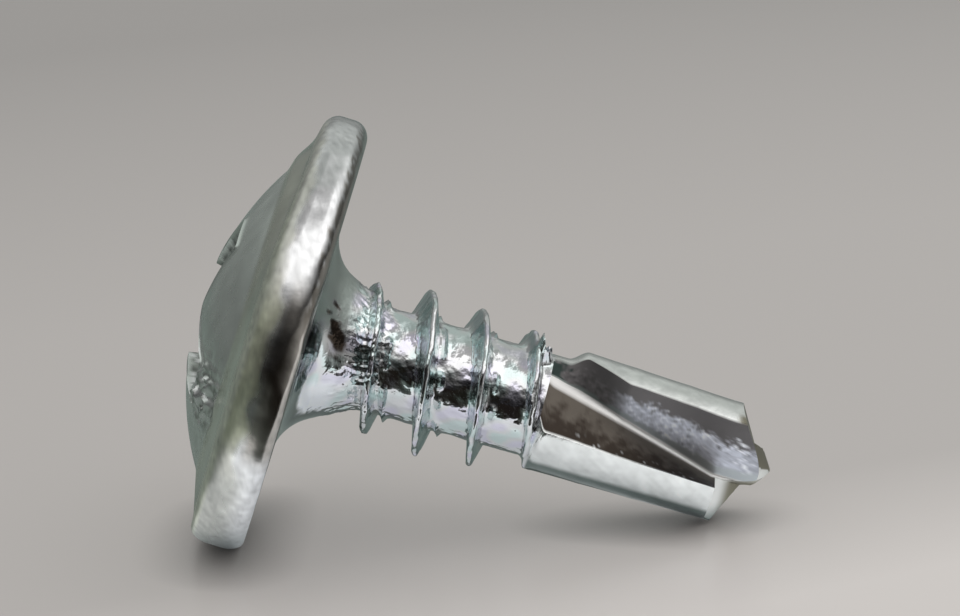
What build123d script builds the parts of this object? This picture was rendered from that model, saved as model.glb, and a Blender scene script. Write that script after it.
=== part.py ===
from build123d import *
from math import acos, asin, atan2, cos, degrees, hypot, radians, sin, tan
import os

# A self drilling screw: wide domed flange head with a cross recess, coarse tapping thread
# and a pinched drill point with two flutes, all in one piece of steel.
# It is modelled along +Z, with the bearing face under the head at height 0, the head below
# it and the drill point above. At the end it is laid down as it rests on a table.
# Lengths are in millimetres, angles in degrees.

# Head
flange_diameter = 11.4
flange_thickness = 1.27
flange_edge_radius = 0.5
face_rise = 0.43  # the front face climbs this far from the flange's edge to the dome
dome_diameter = 8.0
dome_height = 1.15
dome_foot_radius = 0.5
head_tilt = 1.2  # the head sits this far out of square with the shank

# Cross recess, measured down from the top of the dome
recess_depth = 2.2
recess_reach = 3.1  # from the middle to a wing's end, level with the top of the dome
recess_floor_reach = 1.4
wing_width = 1.25
wing_floor_width = 0.8
wing_root_spread = 1.3  # a wing is this many times wider where it meets the next one
recess_floor_angle = 140
recess_turn = 40.5

# Neck between the bearing face and the thread
neck_base_diameter = 4.5
neck_length = 1.7
neck_fillet_radius = 1.3

# Thread
thread_diameter = 4.2
root_diameter = 2.72
thread_pitch = 1.41
crest_width = 0.14
flank_angle = 18  # each flank leans this far from square to the axis
first_crest = 1.35  # height at which the crest first passes the +X side
thread_start = 0.4
thread_run_in = 1.8
thread_run_out = 2.0
thread_overlap = 0.6  # the thread fades out this far past the start of the flutes
sections_per_turn = 12

# Drill point
length_under_head = 12.4
drill_length = 6.2  # from the start of the flutes to the tip
drill_diameter = 3.3
land_start = 0.4  # the lands begin to rise this far past the start of the flutes
land_rise = 0.5
point_angle = 111

# Flutes. Each has a rake wall and a back wall, which turn about the axis as they run to the
# tip. At each station a wall is given by the direction that it faces and its distance from
# the axis, and stations are measured from the start of the flutes.
flute_stations = [0.0, 2.0, 4.7]
rake_wall_facing = [78, 109, 121.5]
rake_wall_distance = [0.9, 0.58, 0.5]
back_wall_facing = [61, 50, 12.5]
back_wall_distance = [1.04, 0.68, -0.47]
flute_root_radius = 0.12
flute_arm = 4.2  # length of a wall in the cutting shape, well past the outside
flute_lift = 1.2  # how far the cutting shape rises off each wall at the wall's outer end

# Relief behind each cutting lip
heel_drop = 1.5  # from the tip down to the outer end of the heel
heel_rise = 0.12  # the heel climbs this much towards the web
web_relief_offset = 0.47  # from the axis to the relief's side wall
lip_relief_near = 0.3  # the climb to the lip starts this far from the axis, on the heel's side
lip_relief_far = 0.6  # and ends this far from it, on the lip's side
lip_relief_angle = 49
lip_flank_angle = 28  # right behind the lip, the land's end falls away at this angle

# Rest
rest_turn = 14  # how far the screw is turned about its own axis as it lies
rest_flat_depth = 0.05  # small worn flat on the flange's rim, where the head rests

# Worked out from the sizes above
flange_radius = flange_diameter / 2
dome_radius = dome_diameter / 2
thread_radius = thread_diameter / 2
root_radius = root_diameter / 2
drill_radius = drill_diameter / 2
head_height = flange_thickness + face_rise + dome_height
flute_start = length_under_head - drill_length
thread_end = flute_start + thread_overlap
corner_height = length_under_head - drill_radius / tan(radians(point_angle / 2))
margin = 0.4  # how far a cutting shape reaches past what it cuts
sink = 0.04  # the thread's ends lie this far below the root


def around(radius, angle):
    """Point at this radius and angle about the axis."""
    return Vector(radius * cos(radians(angle)), radius * sin(radians(angle)))


def turned(outline):
    """Solid of revolution of an outline drawn as (radius, height)."""
    return revolve(Plane.XZ * outline, Axis.Z)


def rounded(outline, corner, radius):
    """The outline with the corner at this place rounded."""
    return fillet(outline.vertices().sort_by_distance(corner)[0], radius)


def head():
    """Turned head: dome, front face and rounded flange."""
    top = (0, -head_height)
    dome_foot = (dome_radius, -flange_thickness - face_rise)
    front_corner = (flange_radius, -flange_thickness)
    back_corner = (flange_radius, 0)
    sphere_radius = (dome_height**2 + dome_radius**2) / (2 * dome_height)
    dome = RadiusArc(top, dome_foot, -sphere_radius)
    outline = make_face([dome, Polyline(dome_foot, front_corner, back_corner, (0, 0), top)])
    outline = rounded(outline, dome_foot, dome_foot_radius)
    outline = rounded(outline, front_corner, flange_edge_radius)
    outline = rounded(outline, back_corner, flange_edge_radius)
    return Rot(0, -head_tilt, 0) * turned(outline)


def shank():
    """Turned shank, from inside the flange: neck, thread root, drill blank."""
    neck_slope = (neck_base_diameter / 2 - root_radius) / neck_length
    outline = Polyline(
        (0, -flange_thickness / 2),
        (neck_base_diameter / 2 + neck_slope * flange_thickness / 2, -flange_thickness / 2),
        (root_radius, neck_length),
        (root_radius, flute_start + land_start),
        (drill_radius, flute_start + land_start + land_rise),
        (drill_radius, corner_height),
        (0, length_under_head),
        close=True,
    )
    return turned(make_face(outline))


def blank():
    """Head and shank joined, with the fillet under the flange."""
    joined = head() + shank()
    return fillet(joined.edges().filter_by(GeomType.ELLIPSE), neck_fillet_radius)


def crest_level(height):
    """Crest radius of the thread at this height: it rises out of the root and sinks back."""
    rise = (height - thread_start) / thread_run_in
    fall = (thread_end - height) / thread_run_out
    return root_radius - sink + min(rise, fall, 1) * (thread_radius + sink - root_radius)


def thread():
    """Helical ridge through equal sections, with its foot inside the root."""
    foot = root_radius - margin
    lean = tan(radians(flank_angle))
    count = round((thread_end - thread_start) / thread_pitch * sections_per_turn)
    sections = []
    for number in range(count + 1):
        height = thread_start + number / count * (thread_end - thread_start)
        crest = crest_level(height)
        half_crest = crest_width / 2
        half_foot = half_crest + (crest - foot) * lean
        corners = [(foot, -half_foot), (crest, -half_crest), (crest, half_crest), (foot, half_foot)]
        section = Plane.XZ * make_face(Polyline(corners, close=True))
        turn = 360 * (height - first_crest) / thread_pitch
        sections.append(Pos(0, 0, height) * Rot(0, 0, turn) * section)
    return loft(sections)


def recess_level(depth):
    """Cross outline of the recess, this far below the top of the dome."""
    share = depth / recess_depth
    reach = recess_reach + share * (recess_floor_reach - recess_reach)
    half_width = (wing_width + share * (wing_floor_width - wing_width)) / 2
    inner = half_width * wing_root_spread
    wing = [Vector(inner, -inner), Vector(reach, -half_width), Vector(reach, half_width)]
    points = [point.rotate(Axis.Z, 90 * quarter) for quarter in range(4) for point in wing]
    return Pos(0, 0, depth - head_height) * make_face(Polyline(points, close=True))


def recess():
    """Cutting shape of the cross recess, with a shallow cone at its floor."""
    walls = loft([recess_level(-margin), recess_level(recess_depth)], ruled=True)
    cone_depth = recess_floor_reach / tan(radians(recess_floor_angle / 2))
    floor = Cone(recess_floor_reach, 0, cone_depth, align=(Align.CENTER, Align.CENTER, Align.MIN))
    floor = Pos(0, 0, recess_depth - head_height) * floor
    prism = extrude(recess_level(recess_depth), cone_depth)
    return Rot(0, -head_tilt, 0) * Rot(0, 0, recess_turn) * (walls + (floor & prism))


def flute_section(station, height):
    """Cross section of a flute's cutting shape at one station."""
    rake_facing = around(1, rake_wall_facing[station])
    back_facing = around(1, back_wall_facing[station])
    rake_line = around(rake_wall_distance[station], rake_wall_facing[station])
    rake_run = rake_facing.rotate(Axis.Z, -90)
    back_run = back_facing.rotate(Axis.Z, 90)
    apart = radians(rake_wall_facing[station] - back_wall_facing[station])
    along = (back_wall_distance[station] - rake_wall_distance[station] * cos(apart)) / sin(apart)
    root = rake_line + rake_run * along
    rake_end = root + rake_run * flute_arm
    back_end = root + back_run * flute_arm
    rake_lifted = rake_end + rake_facing * flute_lift
    back_lifted = back_end + back_facing * flute_lift
    section = make_face(Polyline(root, rake_end, rake_lifted, back_lifted, back_end, close=True))
    return Pos(0, 0, height) * rounded(section, root, flute_root_radius)


def flute():
    """Cutting shape of one flute: straight lines joined from station to station."""
    heights = [flute_start + station for station in flute_stations]
    sections = [flute_section(number, height) for number, height in enumerate(heights)]
    sections.append(flute_section(len(heights) - 1, length_under_head + margin))
    return loft(sections, ruled=True)


def lip_relief():
    """Cutting shape of the relief behind one lip.

    From the heel it runs nearly square to the axis, then climbs to the lip at its own angle.
    Its side wall leaves the web standing between the two reliefs.
    """
    heel = length_under_head - heel_drop
    climb_foot = heel + heel_rise
    climb_top = climb_foot + (lip_relief_near + lip_relief_far) * tan(radians(lip_relief_angle))
    above = length_under_head + margin
    outside = drill_radius + margin
    outline = make_face(
        Polyline(
            (outside, heel),
            (lip_relief_near, climb_foot),
            (-lip_relief_far, climb_top),
            (-lip_relief_far, above),
            (outside, above),
            close=True,
        )
    )
    return extrude(Plane.YZ.offset(-web_relief_offset) * outline, -outside)


def lip_flank():
    """Cutting shape above the plane that holds one lip's two ends and falls away behind it."""
    facing = rake_wall_facing[-1] + 180
    distance = rake_wall_distance[-1]
    slope = tan(radians(point_angle / 2))
    outer_turn = facing - degrees(acos(distance / drill_radius))
    outer_end = around(drill_radius, outer_turn) + Vector(0, 0, corner_height)
    wall_turn = radians(facing)
    inner = Vector(-web_relief_offset, (distance + web_relief_offset * cos(wall_turn)) / sin(wall_turn))
    inner_end = inner + Vector(0, 0, length_under_head - inner.length / slope)
    behind = around(-1, facing) - Vector(0, 0, tan(radians(lip_flank_angle)))
    upward = (inner_end - outer_end).cross(behind)
    above = Plane(origin=outer_end, x_dir=inner_end - outer_end, z_dir=upward)
    width = 2 * drill_diameter
    cut = above.location * Box(width, width, drill_diameter, align=(Align.CENTER, Align.CENTER, Align.MIN))
    side = Box(drill_diameter, width, length_under_head, align=(Align.MAX, Align.CENTER, Align.MIN))
    return cut & (Pos(-web_relief_offset, 0, flute_start) * side)


def rest_tilt():
    """Angle of the axis to the table with the flange's flat and the drill's corner both on it."""
    tilt = radians(head_tilt)
    reach = flange_radius - flange_edge_radius
    run = corner_height + reach * sin(tilt) + flange_edge_radius * cos(tilt)
    drop = reach * cos(tilt) - flange_edge_radius * sin(tilt) - drill_radius
    return degrees(atan2(drop, run) + asin((flange_edge_radius - rest_flat_depth) / hypot(run, drop)))


def screw():
    """The whole screw, standing on its own axis."""
    body = blank() + thread() - recess()
    for half_turn in (0, 180):
        body -= Rot(0, 0, half_turn) * flute()
        body -= Rot(0, 0, half_turn) * lip_relief()
        body -= Rot(0, 0, half_turn) * lip_flank()
    return body


def lying(body):
    """The screw laid down, tip towards +X, centred on the origin and standing on height 0.

    What the head would sink into the table is taken off, which leaves the flat on its rim.
    """
    tilt = radians(rest_tilt())
    bed = Plane(origin=(0, 0, 0), x_dir=(sin(tilt), 0, cos(tilt)), z_dir=(cos(tilt), 0, -sin(tilt)))
    body = bed.location * Rot(0, 0, -rest_turn) * body
    table = -corner_height * sin(tilt) - drill_radius * cos(tilt)
    body = split(body, bisect_by=Plane(origin=(0, 0, table)), keep=Keep.TOP)
    box = body.bounding_box()
    return Pos(-box.center().X, -box.center().Y, -table) * body


self_drilling_screw = lying(screw())
os.makedirs("parts", exist_ok=True)
export_step(self_drilling_screw, "parts/self_drilling_screw.step")
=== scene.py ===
import math

import bpy
import numpy as np
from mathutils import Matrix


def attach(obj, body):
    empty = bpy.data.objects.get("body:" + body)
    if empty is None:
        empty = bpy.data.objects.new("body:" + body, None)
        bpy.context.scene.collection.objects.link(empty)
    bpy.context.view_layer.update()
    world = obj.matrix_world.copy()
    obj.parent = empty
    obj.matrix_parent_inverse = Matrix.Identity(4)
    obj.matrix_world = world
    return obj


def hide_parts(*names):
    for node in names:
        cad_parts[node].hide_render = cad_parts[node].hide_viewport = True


# A self drilling screw lying on a pale table: one zinc plated steel piece.
# Its surface is worked out in the screw's own frame in millimetres: +Z from the head to the
# drill point, 0 at the bearing face, +X up and +Y towards the viewer. It is then laid down.

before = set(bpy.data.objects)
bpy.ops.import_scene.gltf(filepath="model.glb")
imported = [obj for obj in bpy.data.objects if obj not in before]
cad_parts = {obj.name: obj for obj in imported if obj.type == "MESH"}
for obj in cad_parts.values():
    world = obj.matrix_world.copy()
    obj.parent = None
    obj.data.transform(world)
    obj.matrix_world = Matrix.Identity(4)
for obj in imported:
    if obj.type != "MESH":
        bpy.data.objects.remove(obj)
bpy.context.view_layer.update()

# The screw's shape, in millimetres and degrees. Heights are measured from the bearing face.
# A fade is a pair: where it starts, and over how much it climbs to 1, downwards if negative.
# A noise is a pair: the size of its waves and its seed.
screw = {
    "columns": 256,  # round the head and the thread
    "firstColumn": 29.4,  # angle of the first one, at a flute's edge
    # Dome, front face and flange
    "domeRadius": 4.0,
    "domeHeight": 1.15,
    "domeFoot": 0.5,
    "domeEnd": 0.14,  # the dome's rings end, and the turned profile starts, this far before its foot
    "profileStart": 0.1,
    "profileTangent": 0.6,
    "faceRise": 0.43,  # the front face climbs this far from the flange's edge to the dome
    "flangeRadius": 5.7,
    "flangeThickness": 1.27,
    "flangeEdge": 0.5,
    "underside": 2.9,  # the flat underside starts this far from the axis
    "topThinning": 0.12,  # share that the flange's top is thinner
    "thinFrom": (4.3, 0.7),
    "thinTop": (0.25, 0.625),  # of x over radius
    "bottomSharpening": 0.4,  # how much of its edge's rounding the flange's bottom lacks
    "sharpBottom": (-5 / 11, -5 / 11),  # of x over radius
    "headTilt": 1.2,
    "headTiltEnd": 0.7,  # the shank is straight from this height
    # Cross recess
    "recessDepth": 2.2,
    "recessReach": 3.1,
    "recessFloorReach": 1.4,
    "wingHalfWidth": 0.625,
    "wingFloorHalfWidth": 0.4,
    "wingRoot": 1.3,
    "wingSideColumns": 25,
    "wingSoftening": 3,
    "recessFloorAngle": 140,
    "recessTurn": 40.5,
    "recessBurr": 0.07,
    "recessBurrWidth": 0.09,
    "outerBurr": 0.13,  # a second burr round the end of the lower wing
    "outerBurrGap": 0.3,
    "outerBurrSpan": 0.24,
    "outerBurrWidth": 0.07,
    "outerBurrRipples": 23,
    "burrPlace": (-2.15, 2.65),  # middle of the battered patch at that wing
    "burrWay": (0.65, -0.76),
    "burrReach": (0.6, 0.75),
    "burrRough": 0.1,
    "burrNoise": [(0.4, 51), (0.22, 52)],
    # Neck and thread
    "neckRadius": 2.25,
    "neckLength": 1.7,
    "neckFillet": 1.3,
    "neckBlend": 0.05,
    "neckFoot": 0.004,
    "neckGap": 0.05,
    "rootRadius": 1.36,
    "pitch": 1.41,
    "firstCrest": 1.35,
    "upperFlank": 18,
    "lowerFlank": 9,
    "crestRound": 0.08,
    "crestHeights": [0.4, 0.9, 1.35, 1.98, 2.7, 3.46, 4.17, 4.95, 5.6, 6.12, 6.5, 6.9],
    "crestRadii": [1.2, 1.6, 1.88, 1.92, 2.1, 2.1, 1.97, 1.97, 1.8, 1.64, 1.5, 1.2],
    "crestRipple": 0.025,
    "crestRippleNoise": (0.8, 9),
    "crestSway": 0.012,
    "crestSwayNoise": (0.5, 5),
    "rippleRadius": 2,  # the thread's noise is taken on a cylinder of this radius
    "rootBlend": 0.12,
    "foldOffset": 0.41,  # the fold beside the crest, where rolled metal closed over itself
    "foldHeight": 0.15,
    "foldWidth": 0.06,
    "foldNoise": (1.1, 3),
    "foldPieces": (-0.75, 1.25),  # of the noise
    "foldStart": (0.9, 0.5),
    "foldEnd": (5.4, -0.6),
    "curlHeight": 5.9,  # the curl of metal at the thread's end
    "curlAngle": 33,
    "curlRadius": 0.16,
    "curlWidth": 0.06,
    "curlRise": 0.38,
    "curlFrom": 1.5,  # it lies this far from the axis
    "threadBottom": 0.5,
    # Drill point
    "fluteStart": 6.2,
    "lowerLand": [6.02, 6.38],  # heights between which the land facing the table rises
    "upperLand": [6.6, 7.1],
    "landTop": (-5 / 9, 10 / 9),  # of the cosine of the angle
    "drillRadius": 1.65,
    "tip": 12.4,
    "pointAngle": 111,
    "stations": [0.0, 2.0, 4.7],  # from the flutes' start: both walls' directions and distances
    "rakeFacing": [78, 109, 121.5],
    "rakeDistance": [0.9, 0.58, 0.5],
    "backFacing": [61, 50, 12.5],
    "backDistance": [1.04, 0.68, -0.47],
    "edgeTurn": [-3, 7.5, 0],
    "wallReach": 4.2,
    "fluteRoot": 0.16,
    "upperTaper": 0.17,
    "taperEnd": 1.1,  # before the tip
    "heelDrop": 1.5,
    "reliefStart": 0.3,
    "reliefRise": 0.12,
    "reliefPast": 0.4,
    "reliefAngle": 49,
    "lipFlank": 9,
    "webOffset": 0.47,
    "webHalfWidth": 0.53,
    "webWall": 12,
    "webFoot": 11.0,
    "webRise": 1.35,
    "webSlope": 2.5,
    # Lumps of the plating
    "lump": 0.006,
    "lumpNoise": [(0.42, 11), (0.24, 12)],
    "lumpStart": (0.6, 0.6),
    "lumpEnd": (6.6, -0.5),
    "roughLump": 0.017,  # at the first turn of the thread
    "roughNoise": (0.17, 13),
    "roughStart": (0.7, 0.3),
    "roughEnd": (2.3, -0.5),
    # How it lies
    "restTurn": 14,
    "restTilt": 18.67404125,
    "shift": [-4.30965954, -0.00349767, 5.17032292],
}

# Rows and steps of the screw's grids
rows = {
    "recessFloor": 8,
    "recessWall": 16,
    "dome": 26,
    "corner": 14,
    "evening": 14,  # rings over which the head's columns become evenly spaced
    "headGap": 0.12,
    "neck": 12,
    "threadTurn": 32,
    "crestCrowding": 0.75,  # share by which rows gather at the crest
    "fluteBlend": 1.4,  # the thread's columns turn towards the flutes over this length
    "drill": 76,
    "drillBend": 10.4,  # from here the drill's rows turn towards its end
    "point": 14,
    "sharpAngle": 38,
    "settling": 4,  # rounds in which a height and an outline that need each other settle
    "mouthSettling": 12,
}

# Columns round the screw: half a turn is one flute and one land
rakeOuter, rakeInner, backWall, land = 18, 26, 18, 66
root = rakeOuter + rakeInner
flute = root + backWall
halfTurn = flute + land
rakeShares = [1, 0.6236, 0]  # shares of the rake wall at its edge, at its split and at the root
mouthRow = rows["recessFloor"] - 1 + rows["recessWall"] - 1


# Soft noise in about -1..1: the sum of sine waves in seeded random directions, 0.6 to 1.5 times
# as dense as their size says, over the root of their number.
def waves(points, size, seed, count=28):
    rng = np.random.default_rng(seed)
    ways = rng.normal(size=(count, 3))
    length = np.linalg.norm(ways, axis=1, keepdims=True)
    ways *= (2 * np.pi / size) * rng.uniform(0.6, 1.5, (count, 1))
    ways /= length
    phases = rng.uniform(0, 2 * np.pi, count)
    return np.sin(points @ ways.T + phases).sum(-1) / np.sqrt(count)


# Two noises of a list added, the second one weaker: a + second * b.
def doubleWaves(points, pair, second=0.7):
    return waves(points, *pair[0]) + second * waves(points, *pair[1])


# Smooth step: 3 s^2 - 2 s^3 with s held in 0..1.
def ease(share):
    share = np.clip(share, 0, 1)
    return share * share * (3 - 2 * share)


# Smooth step along a fade: ease((value - start) / width).
def faded(value, fade):
    start, width = fade
    return ease((value - start) / width)


# Round bump: exp(-(distance / width)^2).
def bump(distance, width):
    return np.exp(-((distance / width) ** 2))


# The larger of a and b with a soft change: (a + b + sqrt((a - b)^2 + blend^2)) / 2.
def upper(a, b, blend):
    return 0.5 * (a + b + np.sqrt((a - b) ** 2 + blend * blend))


# A part over a length, 0 where the length is.
def over(part, length):
    return part / np.maximum(length, 1e-6)


# Angle in radians brought into -pi..pi: the angle of exp(i a).
def wrapped(angle):
    return np.angle(np.exp(1j * angle))


# Distance past the nearest multiple of a step: mod(value + step / 2, step) - step / 2.
def nearest(value, step):
    return np.mod(value + step / 2, step) - step / 2


# Points turned about the origin: (x cos - y sin, x sin + y cos).
def turned2d(points, degrees):
    cosine, sine = np.cos(np.radians(degrees)), np.sin(np.radians(degrees))
    x, y = points[..., 0], points[..., 1]
    return np.stack([x * cosine - y * sine, x * sine + y * cosine], -1)


# Points of a round surface: (r cos, r sin, z).
def onRound(radius, angle, z):
    return np.stack([radius * np.cos(angle), radius * np.sin(angle), z + np.zeros_like(angle)], -1)


# Angles of the columns round the thread: evenly spaced from the first flute's edge.
def circleAngles():
    return np.radians(screw["firstColumn"]) + 2 * np.pi * np.arange(screw["columns"]) / screw["columns"]


# Radius of neck and root: the fillet's circle, then a cone, held above the root's radius.
def neckProfile(z):
    k = screw
    slope = (k["neckRadius"] - k["rootRadius"]) / k["neckLength"]
    steep = math.hypot(1, slope)
    fillet = k["neckFillet"]
    centre = k["neckRadius"] + fillet * (steep - slope)
    circle = centre - np.sqrt(fillet**2 - np.clip(fillet - z, 0, fillet) ** 2)
    radius = np.where(z < fillet * (1 - slope / steep), circle, k["neckRadius"] - slope * z)
    return upper(radius, k["rootRadius"], k["neckBlend"])


# Rise of the lands: a smooth step from the root's radius to the drill's, less the upper land's
# taper. It starts lower down on the side facing the table.
def landProfile(angle, z):
    k = screw
    up = faded(np.cos(angle), k["landTop"])
    start, end = [low + up * (high - low) for low, high in zip(k["lowerLand"], k["upperLand"])]
    taper = k["upperTaper"] * up * np.clip((z - end) / (k["tip"] - k["taperEnd"] - end), 0, 1)
    return ease((z - start) / (end - start)) * (k["drillRadius"] - k["rootRadius"]) - taper


# Drop beside a crest: r - sqrt(r^2 - a^2) on its round, then the straight flank a / tan(flank).
def ridgeDrop(away, flank):
    rounding = screw["crestRound"]
    away = np.abs(away)
    edge = rounding * np.cos(flank)
    circle = rounding - np.sqrt(rounding**2 - np.minimum(away, edge) ** 2)
    return circle + np.maximum(away - edge, 0) / np.tan(flank)


# Radius of neck, thread and lands: the larger of the base (neck, lands and a bump for the fold)
# and the ridge (crest less its drop), plus a ring-shaped bump for the curl at the thread's end.
def surfaceRadius(angle, z):
    k = screw
    lead = z - k["firstCrest"] - k["pitch"] * angle / (2 * np.pi)
    away = nearest(lead, k["pitch"])
    crest = np.interp(z, k["crestHeights"], k["crestRadii"])
    place = np.stack([np.cos(angle) * k["rippleRadius"], np.sin(angle) * k["rippleRadius"], z], -1)
    flank = np.radians(k["lowerFlank"] + (k["upperFlank"] - k["lowerFlank"]) * (0.5 + 0.5 * np.cos(angle)))
    sway = k["crestSway"] * waves(place, *k["crestSwayNoise"])
    ripple = k["crestRipple"] * waves(place, *k["crestRippleNoise"])
    ridge = crest + ripple - ridgeDrop(away + sway, flank)
    tall = k["foldHeight"] * faded(waves(place, *k["foldNoise"]), k["foldPieces"])
    tall = tall * faded(z, k["foldEnd"]) * faded(z, k["foldStart"])
    fold = tall * bump(nearest(lead - k["foldOffset"], k["pitch"]), k["foldWidth"])
    base = neckProfile(z) + landProfile(angle, z) + fold
    turn = wrapped(angle - math.radians(k["curlAngle"]))
    far = np.hypot(turn * k["curlFrom"], z - k["curlHeight"])
    curl = k["curlRise"] * bump(far - k["curlRadius"], k["curlWidth"])
    return upper(base, ridge, k["rootBlend"]) + curl


# Root and the far ends of the two walls of a flute at each height. At a station a wall is the
# line at its distance from the axis, and both meet at the root; between stations they blend.
def fluteLines(z):
    k = screw
    at = np.clip(z - k["fluteStart"], 0, k["stations"][-1])
    rake, back = np.radians(k["rakeFacing"]), np.radians(k["backFacing"])
    near, far = np.array(k["rakeDistance"]), np.array(k["backDistance"])
    rakeWay = np.stack([np.sin(rake), -np.cos(rake)], -1)
    backWay = np.stack([-np.sin(back), np.cos(back)], -1)
    foot = np.stack([np.cos(rake), np.sin(rake)], -1) * near[:, None]
    along = (far - near * np.cos(rake - back)) / np.sin(rake - back)
    corner = foot + rakeWay * along[:, None]
    edge = rake + np.radians(k["edgeTurn"])
    rakeWay = np.stack([np.sin(edge), -np.cos(edge)], -1)
    lines = [corner, corner + k["wallReach"] * rakeWay, corner + k["wallReach"] * backWay]
    return [np.stack([np.interp(at, k["stations"], line[:, c]) for c in (0, 1)], -1) for line in lines]


# Distance along a wall from its root to a circle: s = -r.w + sqrt((r.w)^2 - r.r + R^2).
def crossing(corner, way, radius):
    dot = (corner * way).sum(-1)
    return -dot + np.sqrt(np.maximum(dot**2 - (corner**2).sum(-1) + radius**2, 0))


# Section of the drill for each column: rake wall, rounded root, back wall, land, then the same
# turned half round. A wall runs from the root until it crosses the surface, and the root's
# rounding is the parabola (u + r)^2 / 4 r. z holds one height for each row and column.
def outlinePoints(z):
    k = screw
    result = []
    for side, part in enumerate((z[:, :halfTurn], z[:, halfTurn:])):
        column = np.arange(halfTurn)[None, :] + np.zeros_like(part)
        corner, rakeEnd, backEnd = fluteLines(part)
        rakeWay = (rakeEnd - corner) / np.linalg.norm(rakeEnd - corner, axis=-1, keepdims=True)
        backWay = (backEnd - corner) / np.linalg.norm(backEnd - corner, axis=-1, keepdims=True)
        turn = side * np.pi

        # Length of a wall up to the surface and the angle there, which need each other
        def wallEnd(way):
            radius = k["drillRadius"]
            for _ in range(rows["settling"]):
                end = corner + way * crossing(corner, way, radius)[..., None]
                angle = np.arctan2(end[..., 1], end[..., 0])
                radius = surfaceRadius(angle + turn, part)
            return crossing(corner, way, radius), angle

        rakeLength, rakeAngle = wallEnd(rakeWay)
        backLength, backAngle = wallEnd(backWay)
        rakeShare = np.interp(column, [0, rakeOuter, root], rakeShares)
        backShare = np.clip((column - root) / backWall, 0, 1)
        signed = backLength * backShare - rakeLength * rakeShare
        soft = k["fluteRoot"]

        # Zero before the root, u after it and the parabola between
        def rounded(u):
            return np.where(u < -soft, 0, np.where(u > soft, u, (u + soft) ** 2 / (4 * soft)))

        wall = corner + rakeWay * rounded(-signed)[..., None] + backWay * rounded(signed)[..., None]
        share = np.clip((column - flute) / land, 0, 1)
        angle = backAngle + share * (rakeAngle + np.pi - backAngle)
        radius = surfaceRadius(angle + turn, part)
        arc = np.stack([np.cos(angle), np.sin(angle)], -1) * radius[..., None]
        points = np.where((column < flute)[..., None], wall, arc)
        result.append(points if side == 0 else -points)
    return np.concatenate(result, 1)


# Height of the plane through both ends of the lip on the -X side, which falls away behind it:
# z0 - (n.x (x - x0) + n.y (y - y0)) / n.z with the normal n of the lip and the fall.
def lipPlane(x, y):
    k = screw
    facing = math.radians(k["rakeFacing"][-1] + 180)
    distance, radius, web = k["rakeDistance"][-1], k["drillRadius"], k["webOffset"]
    slope = math.tan(math.radians(k["pointAngle"] / 2))
    turn = facing - math.acos(distance / radius)
    outer = np.array([radius * math.cos(turn), radius * math.sin(turn), k["tip"] - radius / slope])
    inner = np.array([-web, (distance + web * math.cos(facing)) / math.sin(facing), 0])
    inner[2] = k["tip"] - math.hypot(inner[0], inner[1]) / slope
    behind = np.array([-math.cos(facing), -math.sin(facing), -math.tan(math.radians(k["lipFlank"]))])
    normal = np.cross(inner - outer, behind)
    return outer[2] - (normal[0] * (x - outer[0]) + normal[1] * (y - outer[1])) / normal[2]


# Height of the drill's end over (x, y): the point's cone, tip - r / tan(half its angle), cut
# back behind each lip by the heel, the climb and the lip's plane, with the web left standing.
def endHeight(points):
    k = screw
    x, y = points[..., 0], points[..., 1]
    cone = k["tip"] - np.hypot(x, y) / math.tan(math.radians(k["pointAngle"] / 2))
    across, side = -np.abs(x), np.where(x < 0, y, -y)
    heel = k["tip"] - k["heelDrop"]
    climb = heel + k["reliefRise"] + (k["reliefStart"] - side) * math.tan(math.radians(k["reliefAngle"]))
    outside = k["drillRadius"] + k["reliefPast"]
    slow = heel + k["reliefRise"] * (outside - side) / (outside - k["reliefStart"])
    blade = np.minimum(cone, np.maximum(climb, slow))
    beyond = np.maximum(0, across + k["webOffset"]) * k["webWall"]
    blade = np.minimum(blade, lipPlane(across, side) + beyond)
    arch = np.sqrt(np.clip(1 - (x / k["webHalfWidth"]) ** 2, 0, 1))
    bevel = k["webFoot"] + k["webRise"] * arch + k["webSlope"] * np.maximum(0, -side)
    web = np.where(np.abs(x) < k["webHalfWidth"], np.minimum(cone, bevel), 0)
    return np.maximum(blade, web)


# Patch between side a (bottom), b (right), c (top) and d (left): blended sides less blended
# corners, (1 - v) a + v c + (1 - u) d + u b - corners.
def coons(a, b, c, d):
    u = np.linspace(0, 1, len(a))[None, :, None]
    v = np.linspace(0, 1, len(b))[:, None, None]
    sides = (1 - v) * a[None] + v * c[None] + (1 - u) * d[:, None] + u * b[:, None]
    low = (1 - u) * (1 - v) * a[0] + u * (1 - v) * a[-1]
    high = (1 - u) * v * c[0] + u * v * c[-1]
    return sides - (low + high)


# Profile through corners with each inner corner rounded by a circular arc of its radius: an
# arc point is (sin((1 - s) w) start + sin(s w) end) / sin(w) about the arc's middle.
def roundedPath(corners, radii, steps):
    path = [np.array(corners[:1], float)]
    for before, corner, after, radius in zip(corners, corners[1:], corners[2:], radii):
        before, corner, after = map(np.array, (before, corner, after))
        inward = (before - corner) / np.linalg.norm(before - corner)
        onward = (after - corner) / np.linalg.norm(after - corner)
        half = 0.5 * math.acos(float(np.clip(inward @ onward, -1, 1)))
        first = corner + inward * radius / math.tan(half)
        middle = corner + (inward + onward) / np.linalg.norm(inward + onward) * radius / math.sin(half)
        last = corner + onward * radius / math.tan(half)
        start, end = first - middle, last - middle
        span = math.acos(float(np.clip(start @ end / radius**2, -1, 1)))
        share = np.linspace(0, 1, steps)[:, None]
        arc = (np.sin((1 - share) * span) * start + np.sin(share * span) * end) / math.sin(span)
        path.append(middle + arc)
    path.append(np.array(corners[-1:], float))
    return np.concatenate(path)


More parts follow.
